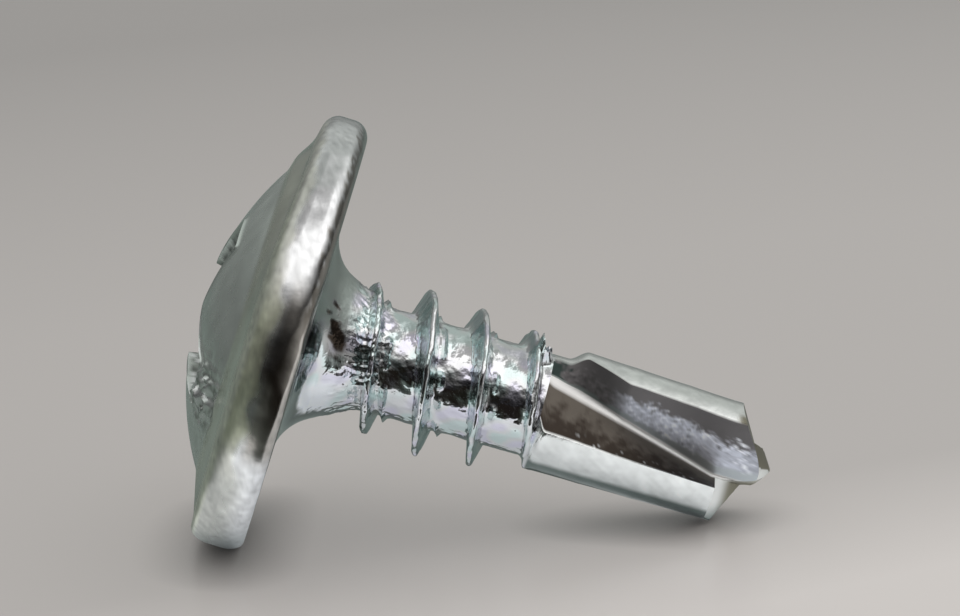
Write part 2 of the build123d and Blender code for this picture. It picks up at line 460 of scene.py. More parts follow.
# The same path with points added so that none are further apart than the gap.
def spread(path, gap):
    parts = []
    for start, end in zip(path[:-1], path[1:]):
        count = max(1, math.ceil(np.linalg.norm(end - start) / gap))
        parts.append(start + (end - start) * np.arange(count)[:, None] / count)
    return np.concatenate(parts + [path[-1:]])


# Quads between the rows of a grid that is closed round its columns.
def ringFaces(down, across):
    index = np.arange(down * across).reshape(down, across)
    after = np.roll(index, -1, 1)
    return np.stack([index[:-1], after[:-1], after[1:], index[1:]], -1).reshape(-1, 4)


# Quads of an open grid.
def patchFaces(down, across):
    index = np.arange(down * across).reshape(down, across)
    return np.stack([index[:-1, :-1], index[:-1, 1:], index[1:, 1:], index[1:, :-1]], -1).reshape(-1, 4)


# Drop of the dome's sphere below its top: R - sqrt(R^2 - r^2).
def domeDrop(radius):
    k = screw
    sphere = (k["domeHeight"] ** 2 + k["domeRadius"] ** 2) / (2 * k["domeHeight"])
    return sphere - np.sqrt(sphere**2 - radius**2)


# Outline of the recess at each column's depth: four wings that taper towards the floor, their
# corners softened by a running mean (1, 2, 1) / 4.
def crossOutline(depth):
    k = screw
    share = depth / k["recessDepth"]
    reach = k["recessReach"] + share * (k["recessFloorReach"] - k["recessReach"])
    half = k["wingHalfWidth"] + share * (k["wingFloorHalfWidth"] - k["wingHalfWidth"])
    inner = half * k["wingRoot"]
    quarter, side = k["columns"] // 4, k["wingSideColumns"]
    wing, step = np.divmod(np.arange(k["columns"]), quarter)
    steps = [0, side, quarter - side, quarter]
    out = np.interp(step, steps, [0, 1, 1, 0])
    across = np.interp(step, steps, [-1, -1, 1, 1])
    points = np.stack([inner + out * (reach - inner), across * (inner + out * (half - inner))], -1)
    for _ in range(k["wingSoftening"]):
        after, here, before = [np.roll(turned2d(points, wing * 90), s, 0) for s in (-1, 0, 1)]
        points = turned2d(0.25 * after + 0.5 * here + 0.25 * before, -wing * 90)
    return turned2d(points, wing * 90 + k["recessTurn"])


# The flange's top is thinner, z (1 - thinning), and its bottom edge is sharper: its radius
# grows by a share of its distance from the full radius.
def rimShaped(points):
    k = screw
    x, y, z = points.T
    radius = np.hypot(x, y)
    up = over(x, radius)
    z = z * (1 - k["topThinning"] * faded(radius, k["thinFrom"]) * faded(up, k["thinTop"]))
    inward = k["flangeRadius"] - radius
    low = k["bottomSharpening"] * faded(up, k["sharpBottom"])
    scale = over(radius + np.where(inward < k["flangeEdge"], low * inward, 0), radius)
    return np.stack([x * scale, y * scale, z], -1)


# Rings from the middle of the recess's floor, a cone, up its walls to the dome's sphere.
def recessRings(top, mouthDepth):
    k = screw
    slope = 1 / math.tan(math.radians(k["recessFloorAngle"] / 2))
    floorOutline = crossOutline(np.full(k["columns"], k["recessDepth"]))
    floorRadius = np.linalg.norm(floorOutline, axis=-1)
    rings = []
    for share in np.linspace(0, 1, rows["recessFloor"])[:-1]:
        deep = k["recessDepth"] + (k["recessFloorReach"] - floorRadius * share) * slope
        rings.append(np.concatenate([floorOutline * share, (top + deep)[:, None]], 1))
    for share in np.linspace(0, 1, rows["recessWall"]):
        depth = k["recessDepth"] + share * (mouthDepth - k["recessDepth"])
        rings.append(np.concatenate([crossOutline(depth), (top + depth)[:, None]], 1))
    return rings


# Rings over the dome's sphere, raised by a bump along the recess's mouth and by a second one
# round the end of the lower wing.
def domeRings(top, mouthRadius, angle):
    k = screw
    rings = []
    away = wrapped(angle - math.radians(k["recessTurn"] + 90))
    offset = k["outerBurrGap"] * (1 + np.sin(k["outerBurrRipples"] * angle) / 4)
    for share in np.linspace(0, 1, rows["dome"])[1:]:
        radius = mouthRadius + share * (k["domeRadius"] - k["domeEnd"] - mouthRadius)
        gap = radius - mouthRadius
        burr = k["recessBurr"] * bump(gap, k["recessBurrWidth"])
        second = bump(away, k["outerBurrSpan"]) * bump(gap - offset, k["outerBurrWidth"])
        rings.append(onRound(radius, angle, top + domeDrop(radius) - burr - k["outerBurr"] * second))
    return rings


# Profile of radius and height from the dome's foot round the flange to the neck's lower end.
def flangePath(top):
    k = screw
    inner = k["domeRadius"] - k["profileTangent"]
    foot = (k["domeRadius"], -k["flangeThickness"] - k["faceRise"])
    corners = [(inner, top + float(domeDrop(inner))), foot, (k["flangeRadius"], -k["flangeThickness"])]
    corners += [(k["flangeRadius"], 0), (k["underside"], 0)]
    path = roundedPath(corners, [k["domeFoot"], k["flangeEdge"], k["flangeEdge"]], rows["corner"])
    path = spread(path, rows["headGap"])
    outer = path[:, 0] > k["domeRadius"] - k["profileStart"]
    path = path[outer | (path[:, 1] > -k["flangeEdge"] / 2)]
    neckZ = np.linspace(k["neckFoot"], k["threadBottom"], rows["neck"])
    neckR = neckProfile(neckZ)
    path = path[(path[:, 1] < -1e-6) | (path[:, 0] > neckR[0] + k["neckGap"])]
    return np.concatenate([path, np.stack([neckR, neckZ], -1)])


# Head as rings: recess, dome, then the profile turned round the axis. The columns follow the
# recess's outline at its mouth and are evenly spaced a few rings further out.
def headGrid():
    k = screw
    top = -(k["flangeThickness"] + k["faceRise"] + k["domeHeight"])
    mouthDepth = np.zeros(k["columns"])
    for _ in range(rows["mouthSettling"]):
        mouthDepth = domeDrop(np.linalg.norm(crossOutline(mouthDepth), axis=-1))
    mouth = crossOutline(mouthDepth)
    mouthRadius = np.linalg.norm(mouth, axis=-1)
    mouthAngle = np.unwrap(np.arctan2(mouth[:, 1], mouth[:, 0]))
    even = circleAngles()
    start = int(np.argmin(np.abs(wrapped(mouthAngle - even[0]))))
    rings = recessRings(top, mouthDepth) + domeRings(top, mouthRadius, mouthAngle)
    rings = [np.roll(ring, -start, 0) for ring in rings]
    mouthAngle = np.unwrap(np.roll(mouthAngle, -start))
    mouthAngle += 2 * np.pi * round((even[0] - mouthAngle[0]) / (2 * np.pi))
    for number, (radius, z) in enumerate(flangePath(top)):
        angle = mouthAngle + ease(number / rows["evening"]) * (even - mouthAngle)
        rings.append(onRound(radius, angle, z))
    rings = [rimShaped(ring) for ring in rings]
    radius = surfaceRadius(even, np.full(len(even), k["threadBottom"]))
    rings[-1] = onRound(radius, even, rings[-1][:, 2])
    return np.array(rings)


# Angles to which the thread's columns turn at the flutes' start: those of the drill's section,
# evenly spaced over each flute.
def fluteAngles():
    columns, even = screw["columns"], circleAngles()
    end = outlinePoints(np.full((1, columns), screw["fluteStart"]))[0]
    endAngle = np.unwrap(np.arctan2(end[:, 1], end[:, 0]))
    column = np.arange(columns)
    half = column % halfTurn
    first = np.where(half < flute, column - half, column)
    nextLand = np.minimum(column - half + flute, columns - 1)
    bridged = endAngle[first] + half / flute * (endAngle[nextLand] - endAngle[first])
    target = np.where(half < flute, bridged, endAngle)
    return target + 2 * np.pi * np.round((even - target) / (2 * np.pi))


# Thread as a grid sheared along the helix, z = first crest + pitch (turns + angle / 2 pi), so
# that its rows follow the crest and gather there. It is clipped level at both ends.
def threadGrid():
    k = screw
    low, high, columns, perTurn = k["threadBottom"], k["fluteStart"], k["columns"], rows["threadTurn"]
    count = math.ceil((high - low) / k["pitch"] + 2) * perTurn + 1
    turns = np.arange(count) / perTurn - 2
    turns = turns - rows["crestCrowding"] * np.sin(2 * np.pi * turns) / (2 * np.pi)
    around = np.arange(columns + 1) / columns + circleAngles()[0] / (2 * np.pi)
    z = np.clip(k["firstCrest"] + k["pitch"] * (turns[:, None] + around[None, :]), low, high)
    used = (z.max(1) > low) & (z.min(1) < high)
    used[1:] |= used[:-1]
    used[:-1] |= used[1:]
    z = z[used]
    even, target = [np.append(a, a[0] + 2 * np.pi) for a in (circleAngles(), fluteAngles())]
    angle = even + ease((z - high + rows["fluteBlend"]) / rows["fluteBlend"]) * (target - even)
    points = onRound(surfaceRadius(angle, z), angle, z)
    points[:-perTurn, -1] = points[perTurn:, 0]
    return points.reshape(-1, 3), patchFaces(len(z), columns + 1)


# Walls and lands of the drill as a grid of sections, and the three patches that close its end.
def drillGrids():
    k = screw
    columns = k["columns"]
    endZ = np.full((1, columns), k["fluteStart"] + k["stations"][-1])
    for _ in range(rows["settling"]):
        endZ = endHeight(outlinePoints(endZ))
    body = np.linspace(0, 1, rows["drill"])[:, None]
    bend = rows["drillBend"]
    lower = k["fluteStart"] + body * (bend - k["fluteStart"]) + np.zeros((1, columns))
    higher = bend + np.linspace(0, 1, rows["point"])[1:, None] * (endZ - bend)
    z = np.concatenate([lower, higher])
    xy = outlinePoints(z)
    walls = np.concatenate([xy, z[..., None]], -1)
    rim = xy[-1]
    patches, cuts = [], []
    for here, there in ((0, halfTurn), (halfTurn, 0)):
        corner, split = rim[here + root], rim[there + rakeOuter]
        cut = corner + (split - corner) * np.linspace(0, 1, land + 1)[:, None]
        back = rim[here + root : here + flute + 1]
        arc = rim[np.arange(here + flute, here + halfTurn + 1) % columns]
        lip = rim[there : there + rakeOuter + 1][::-1]
        patches.append(coons(cut, lip, arc, back))
        cuts.append(cut)
    first = rim[rakeOuter : root + 1]
    second = rim[halfTurn + rakeOuter : halfTurn + root + 1]
    patches.append(coons(first, cuts[0], second[::-1], cuts[1][::-1]))
    return walls, [np.concatenate([p, endHeight(p)[..., None]], -1) for p in patches]


# Own frame to the table, in metres: the head's tilt, the turn about the axis, then laid down by
# (z cos + x sin, -y, x cos - z sin), shifted and scaled.
def laid(points):
    k = screw
    x, y, z = points.T
    tilt = math.radians(k["headTilt"]) * (1 - ease(z / k["headTiltEnd"]))
    x, z = x * np.cos(tilt) - z * np.sin(tilt), x * np.sin(tilt) + z * np.cos(tilt)
    x, y = turned2d(np.stack([x, y], -1), -k["restTurn"]).T
    cosine, sine = math.cos(math.radians(k["restTilt"])), math.sin(math.radians(k["restTilt"]))
    placed = np.stack([z * cosine + x * sine, -y, x * cosine - z * sine], -1) + np.array(k["shift"])
    placed[:, 2] = np.maximum(placed[:, 2], 0)
    return placed * 0.001


# Equal points merged; faces that shrink to a line dropped and three-cornered ones kept.
def joined(points, faces):
    _, first, inverse = np.unique(np.round(points, 5), axis=0, return_index=True, return_inverse=True)
    faces = inverse.reshape(-1)[faces]
    same = [faces[:, i] == faces[:, (i + 1) % 4] for i in range(4)]
    number = sum(s.astype(int) for s in same)
    quads = faces[(number == 0) & (faces[:, 0] != faces[:, 2]) & (faces[:, 1] != faces[:, 3])]
    triangles = [faces[(number == 1) & same[i]][:, [j for j in range(4) if j != i]] for i in range(4)]
    return first, quads, np.concatenate(triangles)


# New object of some data, linked to the scene.
def newObject(name, data):
    made = bpy.data.objects.new(name, data)
    bpy.context.scene.collection.objects.link(made)
    return made


# Mesh object from arrays, smooth with sharp edges kept, with a tone and a finish at each point.
def builtMesh(name, points, quads, triangles, colours, finishes):
    mesh = bpy.data.meshes.new(name)
    mesh.vertices.add(len(points))
    mesh.vertices.foreach_set("co", points.astype(np.float32).ravel())
    corners = np.concatenate([quads.ravel(), triangles.ravel()])
    starts = np.concatenate([np.arange(len(quads)) * 4, len(quads) * 4 + np.arange(len(triangles)) * 3])
    mesh.loops.add(len(corners))
    mesh.loops.foreach_set("vertex_index", corners.astype(np.int32))
    mesh.polygons.add(len(starts))
    mesh.polygons.foreach_set("loop_start", starts.astype(np.int32))
    mesh.update(calc_edges=True)
    opaque = np.concatenate([colours, np.ones((len(colours), 1))], 1)
    tone = mesh.attributes.new("tone", "FLOAT_COLOR", "POINT")
    tone.data.foreach_set("color", opaque.astype(np.float32).ravel())
    finish = mesh.attributes.new("finish", "FLOAT_VECTOR", "POINT")
    finish.data.foreach_set("vector", finishes.astype(np.float32).ravel())
    mesh.validate()
    mesh.shade_smooth()
    mesh.set_sharp_from_angle(angle=math.radians(rows["sharpAngle"]))
    return newObject(name, mesh)


# The zinc plate: its brightness, the roughness of each place, the heights of its grain and
# dents in metres, and their strength in some places
plate = {
    "colour": 0.8,
    "roughness": 0.07,
    "landRoughness": 0.14,
    "dullNeck": 0.4,  # added to the neck's dull top
    "rimRoughness": 0.15,
    "satinRoughness": 0.4,
    "domeRoughness": 0.25,
    "wallRoughness": 0.45,
    "grain": 0.00002,
    "headGrain": 0.15,
    "drillGrain": 0.35,
    "dentGrain": 0.00008,
    "domeDents": 0.15,
    "burrDents": 7.0,
    "cloudDark": 0.94,
    "cloudStops": (0.35, 0.65),
    "glossUneven": (0.12, -0.04),
    "smoothest": 0.04,
}

# What the plate's colour is multiplied by in each place
tones = {
    "rakeDark": (0.33, 0.31, 0.31),
    "violet": (0.97, 0.94, 1.06),
    "teal": (0.90, 1.02, 1.0),
    "flank": (0.70, 0.84, 0.85),
    "neckTop": (0.55, 0.61, 0.57),
    # neckLowReflection: painted reflection that brightens the neck's lower side
    "neckLowReflection": (1.22, 1.24, 1.27),
    "neckBrown": (0.13, 0.10, 0.08),
    # pitShade: painted shade in the pit where each flute starts
    "pitShade": (0.08, 0.11, 0.10),
    "band": (0.92, 0.94, 1.04),
    # glintSpeck: painted glints, specks brighter than the plate
    "glintSpeck": (1.3, 1.3, 1.33),
    "strip": (0.36, 0.40, 0.38),
    "stripFar": (0.66, 0.70, 0.72),
    # root: painted highlight along the rounded root of each flute
    "root": (1.1, 1.08, 1.05),
    "backDark": (0.07, 0.055, 0.045),
    "backLight": (0.19, 0.165, 0.14),
    "backSpeck": (0.6, 0.6, 0.6),
    "land": (1.12, 1.13, 1.10),
    # under: painted shade on the lands' side that faces the table
    "under": (0.24, 0.29, 0.27),
    "lipEdge": (0.33, 0.31, 0.24),
    "heel": (1.15, 1.15, 1.12),
    "dome": (0.98, 1.04, 0.98),
    "face": (0.98, 1.0, 0.86),
    "satin": (0.95, 0.94, 0.86),
    "rimBottom": (0.66, 0.66, 0.62),
    "olive": (0.88, 0.9, 0.7),
    # rimEdgeShade: painted shade along the rim's edge as it curves away
    "rimEdgeShade": (0.35, 0.33, 0.30),
    "rimShade": (0.62, 0.58, 0.53),  # of the colour there
    # recess and recessEdge: painted shade in the recess, darkest deep inside
    "recess": (0.2, 0.2, 0.18),
    "recessEdge": (0.42, 0.44, 0.41),
    # burr: painted glints on the burrs, the recess's chips and the battered patch
    "burr": (1.3, 1.3, 1.3),
    # contactShade: painted contact shadow on the screw close to the table
    "contactShade": (0.23, 0.29, 0.28),  # of the colour there, close to the table
}

# Where the drill's tones come in, and how strongly: rake and back are shares of a flute's wall
# from its root outwards, along is the share of the drill's length
drillFades = {
    "band": (0.25, 0.13),  # along
    "bandEnd": (0.78, 0.15),
    "bandEndShade": 0.35,
    "mottle": 0.16,
    "bandEdge": 0.66,  # the violet band ends at this share of the rake wall
    "bandEdgeSlope": 0.14,
    "bandEdgeWidth": 0.14,
    "bandEdgeWaver": (0.05, 0.03),  # of both noises
    # Where the painted glints of the specks come in
    "specks": (0.28, 0.15),
    "speckShare": 0.8,
    "speckFrom": (0.5, 1.4),  # of the fine noise
    "darker": (0.35, 0.4),
    "darkest": 0.6,
    "stripFar": (0.22, 0.2),
    "strip": (0.26, -0.1),  # rake
    "stripWaver": 0.03,
    # Where the pit's painted shade comes in
    "pitShade": (0.07, -0.03),  # along
    "pitWaver": 0.02,
    "pitFrom": 0.2,  # rake
    # Where the root's painted highlight comes in
    "root": (0.13, -0.03),  # rake
    "rootSlope": 0.07,
    "brown": (0.25, 0.6),  # back
    "brownWaver": (0.12, 0.06),
    "backSpecks": (0.72, 0.2),
    "backSpeckFrom": (0.9, 0.5),  # of their noise
    "backRoot": (0.09, 0.08),
    "backRootSlope": 0.06,
    # Where the lands' painted shade towards the table starts and ends
    "underStart": (145, 9),  # degrees round the axis
    "underEnd": (215, -10),
    "corner": (0.78, 0.03),  # along
    "cornerColumns": (-9, 5),  # columns past the land's end
    "landClouds": 0.05,
    "lip": (0.15, -0.3),  # mm
}

# Where the other tones come in, and how strongly, in millimetres unless noted
fades = {
    "flankFoot": (0.12, 0.12),
    "flankTop": (-0.03, -0.05),
    "flankFrom": 1.0,
    # Where the neck's painted reflection comes in
    "neckLowReflection": (1.2, -0.4),
    "neckUnder": (-0.4, -0.2),  # of x over radius
    "neckTop": (1.05, -0.3),
    "neckTopSide": (0.05, 0.3),  # of x over radius
    "brownPlace": (0.4, 1.85, 0.65),
    "brownReach": (0.62, 0.6, 0.2),
    "brownSlope": 0.43,
    "brownWaver": 0.8,
    "brownEdge": (1.5, -1),  # of the squared distance from its middle, in reaches
    "brownRim": (0.5, 1),
    "rim": (4.9, 0.3),
    "rimFront": (-1.5, 0.1),
    "satin": (0.48, -0.2),  # share of the rim's width, from its front edge
    "satinShift": 0.22,  # it is narrower by this share at the top
    "satinTop": (0, 2.2),
    "satinWaver": 0.06,
    "oliveTop": (1.5, -1.5),
    "oliveBottom": (-3.4, 0.8),
    "rimBottom": (-3.2, -0.9),
    "rimBottomWidth": (0.85, -0.45),  # share of the rim's width
    # Where the rim edge's painted shade comes in
    "rimEdgeShade": (0.8, 0.08),  # share of the rim's width
    "rimEdgeWaver": 0.05,
    "rimMottle": 0.1,
    "headClouds": 0.05,
    "rimEdgeSide": (-0.1, 0.3),  # of x over radius
    "dome": (-1.45, -0.2),
    "face": (-1.2, -0.12),
    "faceEnd": (-1.75, 0.1),
    "shade": (0.35, 0.2),  # share of the rim's width
    "shadeTop": (1.6, -1.2),
    "shadeBottom": (-3.6, 0.8),
    "lowerHalf": (0.3, -0.6),
    # Over these rings the recess's painted shade deepens
    "wingDeep": (-2, -6),  # rings past the mouth
    "wingClouds": 0.45,
    "wingChips": (0.5, 0.5),  # of the fine noise
    # Where the painted glints of the mouth's burr and the battered patch's painted glints and shade come in
    "mouthBurr": (-4 / 9, 10 / 9),  # of its noise
    "mouthBurrRings": 1.6,
    "patchBright": (-3 / 14, 10 / 14),  # of the fine noise
    "patchDark": (-0.2, -2 / 3),
    "toneRange": (0.01, 1.3),
    "burrBack": -1.6,  # the battered patch lies in front of this height
    "dents": (-1.45, 0.1),
    # Heights below which the painted contact shadow darkens the screw
    "contactHeight": 0.0016,  # metres above the table
    "cornerHeight": 0.0006,
}

# Noises of the tones: size of the waves in millimetres and seed
noises = {
    "drillCloud": [(0.5, 21), (0.22, 22)],
    "drillFine": [(0.2, 24), (0.11, 25)],
    "drillSpecks": (0.12, 23),
    "threadCloud": (0.7, 41),
    "brownSpot": (0.3, 42),
    "headCloud": (0.8, 31),
    "headFine": [(0.3, 34), (0.16, 35)],
    "wing": (0.25, 32),
    "burr": (0.4, 33),
}


# Colours a and b mixed: a + (b - a) * share.
def mixed(a, b, share):
    return a + (np.asarray(b) - a) * np.asarray(share)[..., None]


# Colour of a flute's rake wall, from its edge to its root: dark, then mottled violet from the first
# quarter of its length on, then a strip and a bright root, a painted highlight on the root's rounding.
def rakeTones(rake, along, cloud, fine):
    k, at = tones, drillFades
    wall = mixed(k["rakeDark"], k["band"], faded(along, at["band"]))
    wall = wall * (1 - at["bandEndShade"] * faded(along, at["bandEnd"]))[..., None]
    wall = wall * (1 + at["mottle"] * fine)[..., None]
    # Painted glints: bright specks on the violet band
    specks = at["speckShare"] * faded(fine, at["speckFrom"]) * faded(along, at["specks"])
    wall = mixed(wall, k["glintSpeck"], specks)
    waver = at["bandEdgeWaver"][0] * cloud + at["bandEdgeWaver"][1] * fine
    edge = at["bandEdge"] - at["bandEdgeSlope"] * along + waver
    dark = mixed(k["rakeDark"], np.array(k["rakeDark"]) * at["darkest"], faded(along, at["darker"]))
    wall = mixed(wall, dark, ease((rake - edge) / at["bandEdgeWidth"]))
    strip = mixed(k["strip"], k["stripFar"], faded(along, at["stripFar"]))
    wall = mixed(wall, strip, faded(rake - at["stripWaver"] * cloud, at["strip"]))
    # Painted shade: the pit at the flute's start is darkened
    pitShade = faded(along - at["pitWaver"] * cloud, at["pitShade"]) * (rake > at["pitFrom"])
    wall = mixed(wall, k["pitShade"], pitShade)
    # Painted highlight: the root is brightened along its rounding
    return mixed(wall, k["root"], faded(rake + at["rootSlope"] * along, at["root"]))


# Colour of a flute's back wall: brown, darker outwards, with a few specks near its edge, and at its root the
# root's painted highlight.
def backTones(points, back, along, cloud, fine):
    k, at = tones, drillFades
    waver = at["brownWaver"][0] * cloud + at["brownWaver"][1] * fine
    brown = mixed(k["backLight"], k["backDark"], faded(back - waver, at["brown"]))
    specks = faded(waves(points, *noises["drillSpecks"]), at["backSpeckFrom"])
    brown = mixed(brown, k["backSpeck"], specks * faded(back, at["backSpecks"]))
    return mixed(k["root"], brown, faded(back + at["backRootSlope"] * along, at["backRoot"]))


# Colours and roughness round the drill: both walls of each flute and the pale lands, which are darkened
# by painted shade towards the table, and dark at the cutting corner.
def drillTones(points):
    k, at, z = tones, drillFades, points[..., 2]
    column = (np.arange(screw["columns"]) % halfTurn)[None, :] + np.zeros_like(z)
    rake = np.interp(column, [0, rakeOuter, root], rakeShares)
    back = np.clip((column - root) / backWall, 0, 1)
    along = (z - screw["fluteStart"]) / (screw["tip"] - screw["fluteStart"])
    cloud, fine = doubleWaves(points, noises["drillCloud"]), doubleWaves(points, noises["drillFine"], 0.8)
    shades = (along, cloud, fine)
    onBack = (column > root)[..., None]
    wall = np.where(onBack, backTones(points, back, *shades), rakeTones(rake, *shades))
    angle = np.degrees(np.arctan2(points[..., 1], points[..., 0])) % 360
    # Painted shade on the side of the lands that faces the table
    under = faded(angle, at["underStart"]) * faded(angle, at["underEnd"])
    bright = mixed(k["land"], k["under"], under) * (1 + at["landClouds"] * cloud)[..., None]
    corner = faded(along, at["corner"]) * faded(column - halfTurn, at["cornerColumns"])
    bright = mixed(bright, k["lipEdge"], corner)
    onLand = column >= flute
    roughness = np.where(onLand, plate["landRoughness"], plate["wallRoughness"])
    return np.where(onLand[..., None], bright, wall), roughness


# Colours and roughness of neck and thread: bluish and violet clouds, duller flanks, a lower side of the neck
# brightened by a painted reflection, a dull top with a dark brown spot, which is an ellipsoid with a wavy
# edge.
def threadTones(points):
    k, at = tones, fades
    radius, z = np.linalg.norm(points[..., :2], axis=-1), points[..., 2]
    cloud = waves(points, *noises["threadCloud"])
    colour = mixed(mixed((1.0, 1.0, 1.0), k["violet"], ease(cloud)), k["teal"], ease(-cloud))
    crest = np.interp(z, screw["crestHeights"], screw["crestRadii"])
    flank = faded(radius - neckProfile(z), at["flankFoot"]) * faded(radius - crest, at["flankTop"])
    colour = mixed(colour, k["flank"], flank * (z > at["flankFrom"]))
    up = over(points[..., 0], radius)
    # Painted reflection: the neck's lower side is brightened
    colour = mixed(colour, k["neckLowReflection"], faded(z, at["neckLowReflection"]) * faded(up, at["neckUnder"]))
    away = points - np.array(at["brownPlace"])
    away[..., 2] += at["brownSlope"] * away[..., 0]
    spot = ((away / np.array(at["brownReach"])) ** 2).sum(-1)
    spot = spot + at["brownWaver"] * waves(points, *noises["brownSpot"])
    colour = mixed(colour, k["neckBrown"], faded(spot, at["brownEdge"]))
    dull = faded(z, at["neckTop"]) * faded(up, at["neckTopSide"]) * faded(spot, at["brownRim"])
    return mixed(colour, k["neckTop"], dull), plate["roughness"] + plate["dullNeck"] * dull


# Colours of the drill's end: a dark edge along each lip and a pale heel.
def endTones(points):
    x, y = points[..., 0], points[..., 1]
    return mixed(tones["heel"], tones["lipEdge"], faded(np.where(x < 0, y, -y), drillFades["lip"]))


# Share of the battered patch at the end of the lower wing: a round bump along and across its
# way, on the front of the head only.
def burrShare(points):
    (wayX, wayY), (long, wide) = screw["burrWay"], screw["burrReach"]
    x, y = points[..., 0] - screw["burrPlace"][0], points[..., 1] - screw["burrPlace"][1]
    share = bump(x * wayX + y * wayY, long) * bump(y * wayX - x * wayY, wide)
    return share * (points[..., 2] < fades["burrBack"])


# Colour of the recess: painted shade that darkens it inwards from its mouth, with bright chips of painted
# glint on its lower half.
def recessTones(points, row, fine):
    k, at = tones, fades
    wing = mixed(k["recessEdge"], k["recess"], faded(row - mouthRow, at["wingDeep"]))
    wing = wing * (1 + at["wingClouds"] * waves(points, *noises["wing"]))[..., None]
    return mixed(wing, k["burr"], faded(fine, at["wingChips"]) * faded(points[..., 0], at["lowerHalf"]))


# Colours and roughness of the head: recess darkened by painted shade, with painted glints on its burrs,
# greenish dome, front face, satin rim with an olive stretch, a darker stretch of painted shade and a speckled
# edge of painted shade, then the neck.
def headTones(points):
    k, at = tones, fades
    x, z, radius = points[..., 0], points[..., 2], np.linalg.norm(points[..., :2], axis=-1)
    row = np.arange(len(points))[:, None] + np.zeros_like(z)
    cloud, fine = waves(points, *noises["headCloud"]), doubleWaves(points, noises["headFine"])
    neckColour, neckRough = threadTones(points)
    onNeck = (row > mouthRow + rows["dome"]) & (z > 1e-4)
    colour = np.where(onNeck[..., None], neckColour, 1.0)
    rough = np.where(onNeck, neckRough, plate["rimRoughness"])
    onRim = faded(radius, at["rim"]) * faded(z, at["rimFront"])
    across = z / screw["flangeThickness"] + 1
    shift = at["satinShift"] * faded(x, at["satinTop"]) - at["satinWaver"] * cloud
    satin = onRim * faded(across + shift, at["satin"])
    rough = rough + satin * (plate["satinRoughness"] - plate["rimRoughness"])
    olive = faded(x, at["oliveTop"]) * faded(x, at["oliveBottom"])
    colour = mixed(colour, mixed(k["satin"], k["olive"], olive), satin)
    bottom = onRim * faded(across, at["rimBottomWidth"]) * faded(x, at["rimBottom"])
    colour = mixed(colour, k["rimBottom"], bottom)
    up = over(x, radius)
    # Painted shade: the rim's back edge is darkened and speckled
    edge = onRim * faded(across + at["rimEdgeWaver"] * fine, at["rimEdgeShade"]) * faded(up, at["rimEdgeSide"])
    colour = mixed(colour, k["rimEdgeShade"], edge)
    dome = faded(z, at["dome"])
    colour = mixed(colour, k["dome"], dome)
    rough = rough + dome * (plate["domeRoughness"] - plate["rimRoughness"])
    colour = mixed(colour, k["face"], faded(z, at["face"]) * faded(z, at["faceEnd"]))
    # Painted shade: a darker stretch on the rim
    shade = onRim * faded(across, at["shade"]) * faded(x, at["shadeTop"]) * faded(x, at["shadeBottom"])
    colour = mixed(colour, colour * np.array(k["rimShade"]), shade)
    colour = colour * (1 + at["headClouds"] * cloud + at["rimMottle"] * onRim * fine)[..., None]
    colour = np.where((row < mouthRow)[..., None], recessTones(points, row, fine), colour)
    # Painted glints and shade: a bright line along the mouth's lower half, and the battered patch mottled
    # dark and bright
    mouth = bump(row - mouthRow - 1, at["mouthBurrRings"])
    mouth = mouth * faded(waves(points, *noises["burr"]), at["mouthBurr"]) * faded(x, at["lowerHalf"])
    patch = burrShare(points)
    colour = mixed(colour, k["recess"], patch * faded(fine, at["patchDark"]))
    colour = mixed(colour, k["burr"], mouth + patch * faded(fine, at["patchBright"]))
    return np.clip(colour, *at["toneRange"]), rough


# Lumps of the plating on the thread, outwards, and of the battered patch, along the axis.
def lumped(points):
    k, height = screw, points[:, 2]
    lumps = k["lump"] * doubleWaves(points, k["lumpNoise"])
    near = faded(height, k["roughStart"]) * faded(height, k["roughEnd"])
    lumps = lumps + k["roughLump"] * waves(points, *k["roughNoise"]) * near
    lumps = lumps * faded(height, k["lumpStart"]) * faded(height, k["lumpEnd"])
    outwards = over(points[:, :2], np.linalg.norm(points[:, :2], axis=1, keepdims=True))
    points = np.concatenate([points[:, :2] + outwards * lumps[:, None], points[:, 2:]], 1)
    points[:, 2] -= k["burrRough"] * doubleWaves(points, k["burrNoise"]) * burrShare(points)
    return points


